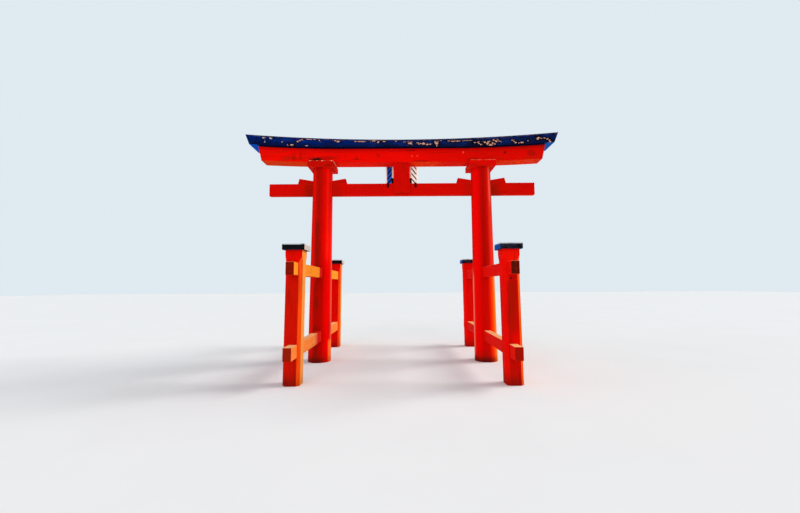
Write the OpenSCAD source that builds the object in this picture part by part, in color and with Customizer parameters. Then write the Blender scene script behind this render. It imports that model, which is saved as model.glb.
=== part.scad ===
// Four-post shrine gate of painted timber, standing in shallow water.
// Millimetres. X runs across the gate, Y from the land side (-) to the lake
// side (+), Z up from the water line at the feet of the legs.

/* [Pillars] */
// distance between the two pillar axes at the water line
pillar_spacing = 8300; // [7000:10:9600]
// pillar diameter at the water line
pillar_base_d = 1120; // [800:5:1300]
// pillar diameter under the capital
pillar_top_d = 990; // [700:5:1200]
// height of the pillar shafts, water line to capital
pillar_h = 9710; // [8200:10:10800]
// how far each pillar top leans in towards the middle
pillar_lean = 70; // [0:1:150]

/* [Capitals] */
// side of the square capital block
capital_w = 1320; // [1100:5:1500]
// thickness of the capital block, bevel included
capital_h = 320; // [150:5:500]
// bevel round the top edge of the block
capital_bevel = 55; // [10:1:100]

/* [Lower lintel] */
// depth of the lower lintel from front to back
lower_d = 770; // [500:5:950]
// thickness of the lower lintel at mid span
lower_t = 705; // [450:5:900]
// how far its top edge reaches past the pillar axes at each end
lower_over = 3190; // [2200:10:3900]
// how much shorter the lower lintel is along its bottom edge
lower_cut = 340; // [0:5:700]
// rise of its bottom edge from mid span to the ends
lower_rise = 130; // [0:5:300]

/* [Upper lintel] */
// depth of the upper lintel from front to back
upper_d = 1240; // [900:5:1500]
// height of the upright faces of the upper lintel at mid span
upper_t = 365; // [200:5:600]
// how far its top edge reaches past the lower lintel at each end
upper_over = 580; // [300:5:1000]
// how much shorter the upper lintel is along its bottom edge
upper_cut = 400; // [0:5:800]
// rise of its bottom edge from mid span to the ends
upper_rise = 195; // [50:5:400]
// rise of its top edge from mid span to the ends
upper_top_rise = 330; // [100:5:600]
// height of the ridge above the top edges
ridge_h = 130; // [0:5:220]
// straight length in the middle of the bottom edges
straight_len = 4800; // [0:50:6000]

/* [Tie beam] */
// distance from the top of the pillar shafts down to the tie beam
tie_drop = 755; // [500:5:1500]
// height of the tie beam section
tie_h = 625; // [400:5:750]
// thickness of the tie beam section
tie_t = 260; // [150:5:400]
// how far the tie beam reaches past the pillar axes at each end
tie_over = 2660; // [1400:5:3600]

/* [Wedges] */
// visible length of a wedge along its foot
wedge_len = 765; // [400:5:1000]
// height of a wedge at its thick outer end
wedge_h = 270; // [150:5:400]
// height of a wedge where it meets the pillar
wedge_in_h = 155; // [80:5:220]
// depth to which a wedge is driven into the pillar
wedge_in = 140; // [60:5:250]
// how far the foot of the outer end stands past its top
wedge_slant = 70; // [0:5:150]

/* [Centre strut] */
// width of the centre strut
strut_w = 830; // [500:5:1100]
// depth of the centre strut from front to back
strut_d = 600; // [400:5:740]
// how far the strut laps down over the faces of the tie beam
strut_lap = 490; // [100:5:500]

/* [Plaque] */
// width of the plaque panel
panel_w = 860; // [600:5:1200]
// height of the plaque panel
panel_h = 1600; // [1200:5:1650]
// how far the foot of the panel hangs below the top of the tie beam
panel_drop = 130; // [60:5:250]
// thickness of the plaque panel and of its frame boards
board_t = 45; // [30:1:80]
// how far each side board of the frame reaches out sideways
flare_x = 425; // [200:5:600]
// how far the frame reaches out towards the lake
flare_y = 380; // [150:5:500]
// how far the top and bottom boards of the frame reach out
flare_z = 230; // [100:5:260]
// width of the iron straps over the tie beam
strap_w = 110; // [60:1:180]
// thickness of the iron straps
strap_t = 28; // [15:1:45]

/* [Support posts] */
// how far the post axes stand outside the pillar axes at the water line
post_out = 30; // [0:1:120]
// how far each post top leans in towards the middle
post_lean = 48; // [0:1:120]
// distance from the pillar line to the axis of a support post
post_reach = 4300; // [3400:10:5200]
// side of the square support posts
post_w = 650; // [450:5:850]
// width cut off each corner of a post
post_chamfer = 115; // [60:5:230]
// height of the support posts
post_h = 5090; // [4800:5:5800]
// length of the plain square head above the chamfers
post_head = 220; // [120:5:400]
// height over which each chamfer runs out
stop_run = 230; // [80:5:400]

/* [Post caps] */
// how far the square cap overhangs the post on each side
cap_over = 108; // [40:1:200]
// thickness of the post cap at its edge
cap_t = 230; // [100:5:300]
// rise of the cap top from edge to middle
cap_rise = 40; // [10:1:60]

/* [Braces] */
// height of the section of each brace
brace_h = 485; // [300:5:600]
// thickness of each brace
brace_t = 315; // [200:5:420]
// distance from the top of the posts down to the upper braces
brace_drop = 490; // [470:5:1200]
// height of the underside of the lower braces
brace_low_z = 1035; // [700:5:1500]
// how far the upper braces stand out past the posts
brace_up_over = 536; // [200:2:900]
// how far the lower braces stand out past the posts
brace_low_over = 680; // [200:2:1100]

/* [Display] */
// piece to draw, or all of them

/* [Hidden] */
$fn = 96;

red = [0.80, 0.10, 0.04];
navy = [0.05, 0.07, 0.15];
iron = [0.06, 0.05, 0.05];
cream = [0.86, 0.80, 0.66];

lean_angle = atan(pillar_lean / pillar_h);
pillar_top_x = pillar_spacing / 2 - pillar_lean;
function pillar_x(z) = pillar_spacing / 2 - pillar_lean * z / pillar_h;
function pillar_r(z) = (pillar_base_d + (pillar_top_d - pillar_base_d) * z / pillar_h) / 2;

capital_z = pillar_h;
capital_top = capital_z + capital_h;
seat_w = capital_w - 2 * capital_bevel;

flat_half = straight_len / 2;

lower_half = pillar_spacing / 2 + lower_over;
lower_bot_half = lower_half - lower_cut / 2;
upper_half = lower_half + upper_over;
upper_bot_half = upper_half - upper_cut / 2;

// height gained at distance x from mid span by an edge that is level as far
// as start and has risen by the given amount at the half length
function lift(x, half, rise, start) =
    rise * pow(max(abs(x) - start, 0) / (half - start), 2);

// the underside of the lower lintel is housed 10 mm over the outer edge of
// the capitals
lower_z = capital_top - 10
    - lift(pillar_top_x + seat_w / 2, lower_bot_half, lower_rise, flat_half);
upper_z = lower_z + lower_t;
upper_top_z = upper_z + upper_t;
function lower_under(x) = lower_z + lift(x, lower_bot_half, lower_rise, flat_half);
function upper_under(x) = upper_z + lift(x, upper_bot_half, upper_rise, flat_half);
function upper_edge(x) = upper_top_z + lift(x, upper_half, upper_top_rise, 0);
// stations along the lintels, closer together than the eye can tell
step = 400;
count = ceil((upper_half + 400) / step);
stations = [for (i = [-count:count]) i * step];

tie_top = pillar_h - tie_drop;
tie_z = tie_top - tie_h;
tie_len = pillar_spacing + 2 * tie_over;
cap_w = post_w + 2 * cap_over;
brace_up_z = post_h - brace_drop - brace_h;
brace_up_reach = post_reach + post_w / 2 + brace_up_over;
brace_low_reach = post_reach + post_w / 2 + brace_low_over;
brace_x = pillar_x(brace_up_z + brace_h);
post_angle = atan(post_lean / post_h);
post_x = pillar_spacing / 2 + post_out;

strut_z0 = tie_top - strut_lap;
panel_y = lower_d / 2;
panel_z0 = tie_top - panel_drop;
cleat_h = 120;
shoe_w = 105;
shoe_h = 290;
shoe_d = 190;
strap_x = panel_w / 2 + flare_x * 0.66;
strap_drop = 215;
big = 30000;
spare = 200;

// wedge outline in the plane of the gate: u is measured from the face of
// the pillar outwards, v up from the top of the tie beam
wedge_slope = (wedge_h - wedge_in_h) / (wedge_len - wedge_slant);
wedge_pts = [[-wedge_in, 0], [wedge_len, 0], [wedge_len - wedge_slant, wedge_h],
             [-wedge_in, wedge_in_h - wedge_slope * wedge_in]];

// extrusion across the gate's depth of an outline drawn in X and Z
module xz(depth) {
    rotate([90, 0, 0]) translate([0, 0, -depth / 2]) linear_extrude(depth) children();
}

module wedge(outer) {
    wx = pillar_x(tie_top);
    wr = pillar_r(tie_top);
    dir = outer ? 1 : -1;
    xz(tie_t) polygon([for (p = wedge_pts) [wx + dir * (wr + p[0]), tie_top + p[1]]]);
}

module brace(z, reach) {
    translate([brace_x - brace_t / 2, -reach, z]) cube([brace_t, 2 * reach, brace_h]);
}

module tie_bar() {
    translate([-tie_len / 2, -tie_t / 2, tie_z]) cube([tie_len, tie_t, tie_h]);
}

module pillar() {
    difference() {
        translate([pillar_spacing / 2, 0, 0]) rotate([0, -lean_angle, 0])
            translate([0, 0, -spare])
                cylinder(h = pillar_h + 2 * spare,
                         r1 = pillar_r(-spare), r2 = pillar_r(pillar_h + spare));
        translate([0, -big / 2, -big]) cube(big);
        translate([0, -big / 2, capital_z]) cube(big);
        tie_bar();
        wedge(true);
        wedge(false);
        brace(brace_up_z, brace_up_reach);
        brace(brace_low_z, brace_low_reach);
    }
}

// square frustum with flat sides, from side a at the bottom to side b
module frustum(a, b, h) {
    intersection_for (turn = [0, 90]) rotate([0, 0, turn]) xz(2 * max(a, b))
        polygon([[-a / 2, 0], [a / 2, 0], [b / 2, h], [-b / 2, h]]);
}

module capital() {
    straight = capital_h - capital_bevel;
    translate([pillar_top_x, 0, capital_z]) union() {
        translate([-capital_w / 2, -capital_w / 2, 0]) cube([capital_w, capital_w, straight]);
        translate([0, 0, straight]) frustum(capital_w, seat_w, capital_bevel);
    }
}

// everything above a row of points, drawn in X and Z
module above(pts) {
    polygon(concat(pts, [[big / 2, pts[len(pts) - 1][1]], [big / 2, big], [-big / 2, big],
                         [-big / 2, pts[0][1]]]));
}

module above_lower() { above([for (x = stations) [x, lower_under(x)]]); }
module above_upper() { above([for (x = stations) [x, upper_under(x)]]); }

// end lines of a lintel from its bottom edge to its top edge
module between_ends(bot_half, bot_z, top_half, top_z) {
    run = (top_half - bot_half) / (top_z - bot_z);
    low = 600;
    high = 600;
    polygon([[-bot_half + run * low, bot_z - low], [bot_half - run * low, bot_z - low],
             [top_half + run * high, top_z + high], [-top_half - run * high, top_z + high]]);
}

module lower_lintel() {
    color(red) difference() {
        xz(lower_d) difference() {
            intersection() {
                between_ends(lower_bot_half, lower_z + lower_rise,
                             lower_half, upper_under(lower_half));
                above_lower();
            }
            above_upper();
        }
        for (s = [-1, 1])
            translate([s * pillar_top_x - seat_w / 2, -lower_d, capital_top - 500])
                cube([seat_w, 2 * lower_d, 500]);
    }
}

module upper_lintel() {
    slope = atan(ridge_h / (upper_d / 2));
    color(navy) difference() {
        xz(upper_d) intersection() {
            between_ends(upper_bot_half, upper_z + upper_rise,
                         upper_half, upper_top_z + upper_top_rise);
            above_upper();
        }
        // front and back slopes of the top, each rising from its edge
        for (s = [0, 1]) mirror([0, s, 0])
            translate([0, -upper_d / 2, 0]) rotate([slope, 0, 0])
                xz(big) above([for (x = stations) [x, upper_edge(x) * cos(slope)]]);
    }
}

module centre_strut() {
    color(red) difference() {
        translate([-strut_w / 2, -strut_d / 2, strut_z0])
            cube([strut_w, strut_d, lower_z - strut_z0]);
        tie_bar();
    }
}

module strut_shoes() {
    color(iron) for (s = [-1, 1])
        translate([s * (strut_w + shoe_w) / 2 - shoe_w / 2, -shoe_d / 2, tie_top])
            cube([shoe_w, shoe_d, shoe_h]);
}

module plaque_cleats() {
    color(red) for (z = [tie_top + 120, lower_z - 120 - cleat_h])
        translate([-strut_w / 2, strut_d / 2, z])
            cube([strut_w, panel_y - strut_d / 2, cleat_h]);
}

module plaque_panel() {
    color(red) translate([-panel_w / 2, panel_y, panel_z0])
        cube([panel_w, board_t, panel_h]);
}

// flared side board, drawn for the right side
module side_board() {
    linear_extrude(panel_h + 2 * flare_z)
        polygon([[panel_w / 2, panel_y], [panel_w / 2 + flare_x, panel_y + flare_y],
                 [panel_w / 2 + flare_x - board_t, panel_y + flare_y],
                 [panel_w / 2, panel_y + board_t + board_t * flare_y / flare_x]]);
}

module frame_side() {
    color(cream) translate([0, 0, panel_z0 - flare_z]) side_board();
}

// flared board along the top of the panel, trimmed between the side boards
module frame_rail() {
    inner = [[-panel_w / 2, panel_y - 1],
             [panel_w / 2, panel_y - 1],
             [panel_w / 2, panel_y + board_t + board_t * flare_y / flare_x],
             [panel_w / 2 + flare_x - board_t, panel_y + flare_y],
             [-panel_w / 2 - flare_x + board_t, panel_y + flare_y],
             [-panel_w / 2, panel_y + board_t + board_t * flare_y / flare_x]];
    intersection() {
        linear_extrude(1000) polygon(inner);
        rotate([90, 0, 90]) translate([0, 0, -2000]) linear_extrude(4000)
            polygon([[panel_y, 0], [panel_y + board_t, 0], [panel_y + flare_y, flare_z],
                     [panel_y + flare_y, flare_z + board_t],
                     [panel_y + flare_y - board_t, flare_z + board_t],
                     [panel_y, board_t]]);
    }
}

module strap() {
    reach = panel_y + (strap_x - panel_w / 2) * flare_y / flare_x;
    difference() {
        union() {
            translate([strap_x - strap_w / 2, -tie_t / 2 - strap_t, tie_top - strap_drop])
                cube([strap_w, strap_t, strap_drop + strap_t]);
            translate([strap_x - strap_w / 2, -tie_t / 2, tie_top])
                cube([strap_w, reach + strap_w + tie_t / 2, strap_t]);
        }
        translate([0, 0, tie_top - 100]) linear_extrude(400)
            polygon([[panel_w / 2 - flare_x, panel_y - flare_y],
                     [panel_w / 2 + 2 * flare_x, panel_y + 2 * flare_y],
                     [panel_w / 2 - flare_x, panel_y + 2 * flare_y]]);
    }
}

module post() {
    d0 = (post_w - post_chamfer) / sqrt(2);
    d1 = post_w / sqrt(2);
    z_low = post_h - post_head - stop_run;
    difference() {
        translate([-post_w / 2, -post_w / 2, -spare])
            cube([post_w, post_w, post_h + 2 * spare]);
        for (a = [45, 135, 225, 315]) rotate([0, 0, a]) xz(post_w)
            polygon([[d0, -2 * spare], [d1 + 50, -2 * spare],
                     [d1 + 50, z_low + stop_run * (d1 + 50 - d0) / (d1 - d0)],
                     [d0, z_low]]);
    }
}

// leaning post of the right side, at the front (-1) or the back (1)
module post_at(back) {
    color(red) difference() {
        translate([post_x, back * post_reach, 0]) rotate([0, -post_angle, 0]) post();
        translate([0, -big / 2, -big]) cube(big);
        translate([0, -big / 2, post_h]) cube(big);
        brace(brace_up_z, brace_up_reach);
        brace(brace_low_z, brace_low_reach);
    }
}

module cap_at(back) {
    color(navy) translate([post_x - post_lean, back * post_reach, post_h]) union() {
        translate([-cap_w / 2, -cap_w / 2, 0]) cube([cap_w, cap_w, cap_t]);
        translate([0, 0, cap_t]) frustum(cap_w, 60, cap_rise);
    }
}

module pillar_right() { color(red) pillar(); }
module pillar_left() { color(red) mirror([1, 0, 0]) pillar(); }
module capital_right() { color(red) capital(); }
module capital_left() { color(red) mirror([1, 0, 0]) capital(); }
module tie_beam() { color(red) tie_bar(); }
module wedge_right_outer() { color(red) wedge(true); }
module wedge_right_inner() { color(red) wedge(false); }
module wedge_left_outer() { color(red) mirror([1, 0, 0]) wedge(true); }
module wedge_left_inner() { color(red) mirror([1, 0, 0]) wedge(false); }
module plaque_frame_right() { frame_side(); }
module plaque_frame_left() { mirror([1, 0, 0]) frame_side(); }
module plaque_frame_top() {
    color(cream) translate([0, 0, panel_z0 + panel_h]) frame_rail();
}
module plaque_frame_bottom() {
    color(cream) translate([0, 0, panel_z0]) mirror([0, 0, 1]) frame_rail();
}
module plaque_strap_right() { color(iron) strap(); }
module plaque_strap_left() { color(iron) mirror([1, 0, 0]) strap(); }
module post_front_left() { mirror([1, 0, 0]) post_at(-1); }
module post_front_right() { post_at(-1); }
module post_back_left() { mirror([1, 0, 0]) post_at(1); }
module post_back_right() { post_at(1); }
module cap_front_left() { mirror([1, 0, 0]) cap_at(-1); }
module cap_front_right() { cap_at(-1); }
module cap_back_left() { mirror([1, 0, 0]) cap_at(1); }
module cap_back_right() { cap_at(1); }
module brace_upper_right() { color(red) brace(brace_up_z, brace_up_reach); }
module brace_upper_left() { color(red) mirror([1, 0, 0]) brace(brace_up_z, brace_up_reach); }
module brace_lower_right() { color(red) brace(brace_low_z, brace_low_reach); }
module brace_lower_left() { color(red) mirror([1, 0, 0]) brace(brace_low_z, brace_low_reach); }

pillar_left();
pillar_right();
capital_left();
capital_right();
lower_lintel();
upper_lintel();
tie_beam();
wedge_left_outer();
wedge_left_inner();
wedge_right_inner();
wedge_right_outer();
centre_strut();
strut_shoes();
plaque_cleats();
plaque_panel();
plaque_frame_left();
plaque_frame_right();
plaque_frame_top();
plaque_frame_bottom();
plaque_strap_left();
plaque_strap_right();
post_front_left();
post_front_right();
post_back_left();
post_back_right();
cap_front_left();
cap_front_right();
cap_back_left();
cap_back_right();
brace_upper_left();
brace_upper_right();
brace_lower_left();
brace_lower_right();
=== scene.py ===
import math

import bmesh
import bpy
from mathutils import Matrix, Vector


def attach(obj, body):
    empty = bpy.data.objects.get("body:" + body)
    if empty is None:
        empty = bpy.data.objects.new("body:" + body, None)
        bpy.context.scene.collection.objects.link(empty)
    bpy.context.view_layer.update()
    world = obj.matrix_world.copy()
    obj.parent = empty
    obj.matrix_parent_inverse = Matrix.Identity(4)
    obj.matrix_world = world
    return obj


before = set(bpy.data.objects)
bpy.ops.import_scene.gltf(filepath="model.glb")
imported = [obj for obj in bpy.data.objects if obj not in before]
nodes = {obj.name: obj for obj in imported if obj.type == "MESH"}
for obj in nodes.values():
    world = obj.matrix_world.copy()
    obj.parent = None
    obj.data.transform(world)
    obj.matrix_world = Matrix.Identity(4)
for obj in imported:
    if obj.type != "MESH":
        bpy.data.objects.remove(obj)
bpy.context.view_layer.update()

# The looks of a four-post shrine gate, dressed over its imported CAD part. Metres throughout: X runs across
# the gate, Y from the land side (negative, where the camera stands) to the lake side, Z up from the water.
scene = bpy.context.scene

# ---------------------------------------------------------------- sizes of the CAD part that the looks need
# upper lintel: its two top edges and the ridge between them
EDGE_Z = 11.060         # height of the edges at mid span
EDGE_RISE = 0.330       # rise of the edges from mid span to the ends
EDGE_HALF = 7.920       # half length of the edges
EDGE_Y = 0.620          # distance of the edges from the middle plane
RIDGE_H = 0.130         # height of the ridge above the edges
END_RUN = 0.400         # how far the ends lean out in each metre of height
STATION = 0.400         # spacing of the stations between which its curves are straight
# lower lintel and capitals
LINTEL_UNDER_Z = 9.990  # underside of the lower lintel at mid span
SEAM_X = 3.290          # seam in the lower lintel's paint, beside each capital towards the middle
BEVEL_Z = 9.998         # about the middle of the bevel round a capital's top
BROW_Z = 9.930          # above it a capital's sunny side gets a painted highlight
# tie beam, centre strut and plaque
TIE_TOP_Z = 8.955
TIE_HEART_Z = 8.500     # heart of the tree in the tie beam's ends, a little below their middle
STRUT_HALF = 0.415      # half width of the centre strut
STRAP_X, STRAP_Y = 0.7105, -0.158   # middle of a strap's front face
PANEL_FOOT_Z = TIE_TOP_Z - 0.130
PANEL_FACE_Y = 0.430    # lake side of the plaque's panel
# pillars, posts and braces
PILLAR_FACE_Y = -0.500  # land side of the pillars, about where the braces enter them
POST_FACE_Y = -4.620    # land side of the front posts at the lower braces
HEART_X = 4.080         # the rings on the braces' ends curve round this line at the water's height
RING_RATE = 190.0       # radians of the ring pattern in each metre from the heart
CAP_RIM_Z = 5.320       # rim of the post caps, where their low pyramid starts

# ---------------------------------------------------------------- camera
FOCAL_PX, IMAGE_PX, SENSOR_MM = 360.0, 800, 36.0
CAMERA_AT = (-0.025, -18.276, 3.695)
PITCH, YAW, ROLL = math.radians(4.679), math.radians(-0.265), math.radians(-0.291)
VIEW_END = 500.0


def add_camera():
    """The camera that was fitted to the photograph."""
    forward = Vector((math.sin(YAW) * math.cos(PITCH), math.cos(YAW) * math.cos(PITCH), math.sin(PITCH)))
    level = Vector((math.cos(YAW), -math.sin(YAW), 0.0))
    upward = level.cross(forward)
    right = level * math.cos(ROLL) + upward * math.sin(ROLL)
    top = upward * math.cos(ROLL) - level * math.sin(ROLL)
    lens = bpy.data.cameras.new("camera")
    lens.sensor_width = SENSOR_MM
    lens.lens = SENSOR_MM * FOCAL_PX / IMAGE_PX
    lens.clip_end = VIEW_END
    camera = bpy.data.objects.new("camera", lens)
    scene.collection.objects.link(camera)
    place = Matrix.Identity(4)
    for i in range(3):
        place[i][0], place[i][1], place[i][2], place[i][3] = right[i], top[i], -forward[i], CAMERA_AT[i]
    camera.matrix_world = place
    scene.camera = camera


add_camera()


# ---------------------------------------------------------------- node materials
class Net:
    """A node material put together from short expressions.

    x, y, z are the place in the gate's frame, and nx, ny, nz the way the surface faces.
    """

    def __init__(self, name, seed):
        self.mat = bpy.data.materials.new(name)
        self.mat.use_nodes = True
        self.tree = self.mat.node_tree
        self.tree.nodes.clear()
        self.seed = seed
        out = self.node("ShaderNodeOutputMaterial")
        self.bsdf = self.node("ShaderNodeBsdfPrincipled")
        self.link(self.bsdf.outputs[0], out.inputs[0])
        tex = self.node("ShaderNodeTexCoord")
        self.p = tex.outputs["Object"]
        self.x, self.y, self.z = self.split(self.p)
        self.nx, self.ny, self.nz = self.split(tex.outputs["Normal"])

    def node(self, kind):
        return self.tree.nodes.new(kind)

    def link(self, a, b):
        self.tree.links.new(a, b)

    def put(self, sock, v):
        if isinstance(v, bpy.types.NodeSocket):
            self.link(v, sock)
        elif isinstance(v, (tuple, list)) and len(v) == 3 and sock.type == "RGBA":
            sock.default_value = (*v, 1.0)
        else:
            sock.default_value = v

    def split(self, v):
        s = self.node("ShaderNodeSeparateXYZ")
        self.put(s.inputs[0], v)
        return s.outputs[0], s.outputs[1], s.outputs[2]

    def join(self, x, y, z):
        s = self.node("ShaderNodeCombineXYZ")
        for i, v in enumerate((x, y, z)):
            self.put(s.inputs[i], v)
        return s.outputs[0]

    def math(self, op, *values):
        s = self.node("ShaderNodeMath")
        s.operation = op
        for i, v in enumerate(values):
            self.put(s.inputs[i], v)
        return s.outputs[0]

    def add(self, a, b):
        return self.math("ADD", a, b)

    def sub(self, a, b):
        return self.math("SUBTRACT", a, b)

    def most(self, a, b):
        return self.math("MAXIMUM", a, b)

    def size(self, v):
        return self.math("ABSOLUTE", v)

    def mul(self, a, *more):
        for b in more:
            a = self.math("MULTIPLY", a, b)
        return a

    def swing(self, v, reach):
        """A noise turned into a shift that goes both ways round 0."""
        return self.mul(self.sub(v, 0.5), reach)

    def vec(self, op, *values):
        s = self.node("ShaderNodeVectorMath")
        s.operation = op
        for i, v in enumerate(values):
            self.put(s.inputs[i], v)
        return s.outputs["Value"] if op == "LENGTH" else s.outputs[0]

    def tint(self, colour, factors):
        return self.vec("MULTIPLY", colour, factors)

    def step(self, v, lo, hi, a=0.0, b=1.0):
        """Smooth step from a where v is at lo to b where v is at hi."""
        s = self.node("ShaderNodeMapRange")
        s.interpolation_type = "SMOOTHSTEP"
        for i, w in enumerate((v, lo, hi, a, b)):
            self.put(s.inputs[i], w)
        return s.outputs[0]

    def near(self, v, at, half, soft):
        """1 where v is within half of at, fading out over soft."""
        return self.step(self.size(self.sub(v, at)), half + soft, half)

    def noise(self, size, detail=3.0, rough=0.55, bend=0.0):
        """Fractal noise whose features are size metres long along X, Y and Z."""
        self.seed += 1
        s = self.node("ShaderNodeTexNoise")
        grow = self.vec("MULTIPLY", self.p, tuple(1.0 / v for v in size))
        shift = (self.seed * 7.31, self.seed * 3.17, self.seed * 5.53)
        self.put(s.inputs["Vector"], self.vec("ADD", grow, shift))
        s.inputs["Scale"].default_value = 1.0
        s.inputs["Detail"].default_value = detail
        s.inputs["Roughness"].default_value = rough
        s.inputs["Distortion"].default_value = bend
        return s.outputs[0]

    def mix(self, f, a, b):
        s = self.node("ShaderNodeMix")
        s.data_type = "RGBA"
        for i, v in ((0, f), (6, a), (7, b)):
            self.put(s.inputs[i], v)
        return s.outputs[2]

    def ramp(self, f, stops):
        """Colours at given values of f, from -1 to 1, blended in between."""
        s = self.node("ShaderNodeValToRGB")
        e = s.color_ramp.elements
        while len(e) < len(stops):
            e.new(0.5)
        for i, (at, colour) in enumerate(stops):
            e[i].position = (at + 1) / 2
            e[i].color = (*colour, 1.0)
        self.put(s.inputs[0], self.math("MULTIPLY_ADD", f, 0.5, 0.5))
        return s.outputs[0]

    def done(self, colour, rough, height=None, depth=0.006, spec=0.006):
        """Finish the material; height is a relief of the given depth in metres."""
        b = self.bsdf
        self.put(b.inputs["Base Color"], colour)
        self.put(b.inputs["Roughness"], rough)
        b.inputs["Specular IOR Level"].default_value = spec
        if height is not None:
            s = self.node("ShaderNodeBump")
            s.inputs["Strength"].default_value = 1.0
            s.inputs["Distance"].default_value = depth
            self.put(s.inputs["Height"], height)
            self.link(s.outputs[0], b.inputs["Normal"])
        return self.mat


# ---------------------------------------------------------------- colours, linear
BROWN = (0.16, 0.010, 0.0025)
SOOT = (0.030, 0.006, 0.004)
CORAL = (0.80, 0.30, 0.16)
CRACK = (0.05, 0.006, 0.003)
TIDE = (0.20, 0.007, 0.002)
END_RED = (0.40, 0.008, 0.002)
# tops in painted sunlight; undersides brightened as painted reflected light from below
SUNLIT_TOP = (0.86, 0.400, 0.165)
UNDER_RED_REFLECTED = (0.80, 0.020, 0.004)
CAPITAL_UNDER_REFLECTED = (0.80, 0.012, 0.003)
NAVY = (0.0006, 0.0135, 0.128)
NAVY_DULL = (0.0040, 0.0120, 0.074)
NAVY_FRESH = (0.0045, 0.026, 0.20)
BLACK = (0.0030, 0.0034, 0.012)
SALMON = (0.72, 0.265, 0.165)
SAND = (0.66, 0.40, 0.30)
CHALK = (0.60, 0.42, 0.36)
SCORCHED = (0.24, 0.060, 0.03)
# marks on single timbers, painted light and shade among them
DARKER_RED = (0.44, 0.010, 0.002)
LINTEL_STAIN = (0.060, 0.006, 0.003)
PALE_CHIP = (0.90, 0.13, 0.055)
FLAKED_LEFT, FLAKED_RIGHT = (1.0, 0.110, 0.005), (1.0, 0.090, 0.006)
UNDER_LEFT = (0.72, 0.046, 0.002)
TIE_DIRT_AND_SHADE = (0.35, 0.0052, 0.0006)
HEAD_HIGHLIGHT = (1.0, 0.078, 0.046)
BAND_STAIN_AND_SHADE = (0.13, 0.008, 0.002)
LIMB_SUNLIGHT = (1.0, 0.165, 0.024)
KNOT_RUN = (0.17, 0.009, 0.002)
ROOT_SHADE = (0.18, 0.008, 0.002)
HALF_SHADOW_PINK, PILLAR_SHADOW_RED = (0.62, 0.085, 0.055), (0.56, 0.012, 0.005)
# on the dark blue lintel: dirt far from and near to the flakes, worn edge, underside in painted shade and in
# painted reflected light past the lower lintel, and ends
DIRT_FAR, DIRT_NEAR = (0.0016, 0.0022, 0.008), (0.0018, 0.0024, 0.010)
RIM_WOOD = (0.17, 0.085, 0.055)
SOFFIT_SHADE = (0.0020, 0.0040, 0.028)
SOFFIT_REFLECTION_LEFT, SOFFIT_REFLECTION_RIGHT = (0.002, 0.095, 0.60), (0.014, 0.118, 0.50)
END_BLUE_DARK, END_BLUE_LIGHT = (0.0028, 0.012, 0.10), (0.004, 0.030, 0.21)
# on the post caps: paint, its right half, the left side in painted shade lit blue by the sky, the sunny side
# in painted sunlight, the under side, and the pale rim
CAP_BLACK, CAP_GREY = (0.0034, 0.0036, 0.0042), (0.008, 0.009, 0.013)
CAP_RIGHT = (0.020, 0.020, 0.036)
CAP_SKY_SHADE = (0.002, 0.060, 0.31)
CAP_SUNLIGHT = (0.52, 0.43, 0.38)
CAP_UNDER = (0.01, 0.03, 0.10)
CAP_RIM = (0.60, 0.62, 0.65)
# iron and the plaque's paints
IRON_BLACK, IRON_RUST = (0.001, 0.001, 0.0012), (0.009, 0.005, 0.004)
LACQUER_DARK, LACQUER_WORN = (0.020, 0.020, 0.030), (0.050, 0.038, 0.036)
CREAM, CREAM_WORN, CREAM_CRACK = (0.98, 0.98, 0.86), (0.84, 0.76, 0.60), (0.20, 0.10, 0.05)
EDGE_CREAM = (1.0, 1.0, 0.90)
# the left boards' blue ground is painted shade on their white paint
STRIPE_SHADE_BLUE, STRIPE_BLACK = (0.020, 0.130, 0.85), (0.002, 0.002, 0.004)
STRIPE_WHITE, STRIPE_BROWN = (0.97, 1.0, 0.94), (0.012, 0.002, 0.002)


def faces(left, front, right, chamfer=None):
    """Colours for flat timbers by the side a face looks to: -x, front or back, +x. The sides differ by
    painted light and shade, and the orange +x side and its chamfer are painted sunlight.
    """
    chamfer = chamfer or tuple((a + b) / 2 for a, b in zip(front, right))
    return [(-1.0, left), (-0.62, left), (-0.5, front), (0.5, front), (0.62, chamfer), (0.78, chamfer),
            (0.9, right), (1.0, right)]


# colours of the pillars by the way their round side faces, from -x to +x, in their lower and upper part.
# They are painted light and shade round the pillar: a dark core of painted shade, painted sunlight and
# highlights towards +x, and on the right pillar painted sunlight on the lower part up to its blend
LEFT_LOW = [
    (-1.0, (0.56, 0.004, 0.001)), (-0.59, (0.75, 0.003, 0.001)), (-0.35, (0.50, 0.003, 0.0008)),
    (-0.14, (0.46, 0.003, 0.0006)), (0.12, (0.53, 0.0024, 0.0004)), (0.30, (0.56, 0.002, 0.0003)),
    (0.50, (0.76, 0.0014, 0.0003)), (0.76, (0.87, 0.001, 0.0003)), (0.88, (0.80, 0.001, 0.0003)),
    (0.95, (0.70, 0.016, 0.009)), (1.0, (0.74, 0.10, 0.06))]
LEFT_HIGH = [
    (-1.0, (0.56, 0.004, 0.001)), (-0.59, (0.75, 0.003, 0.001)), (-0.35, (0.50, 0.003, 0.0008)),
    (-0.10, (0.44, 0.003, 0.0006)), (0.12, (0.55, 0.0025, 0.0004)), (0.30, (0.76, 0.002, 0.0004)),
    (0.52, (0.90, 0.002, 0.0004)), (0.66, (1.0, 0.012, 0.006)), (0.76, (1.0, 0.010, 0.005)),
    (0.84, (1.0, 0.004, 0.001)), (0.94, (0.96, 0.010, 0.005)), (1.0, (0.88, 0.055, 0.036))]
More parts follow.
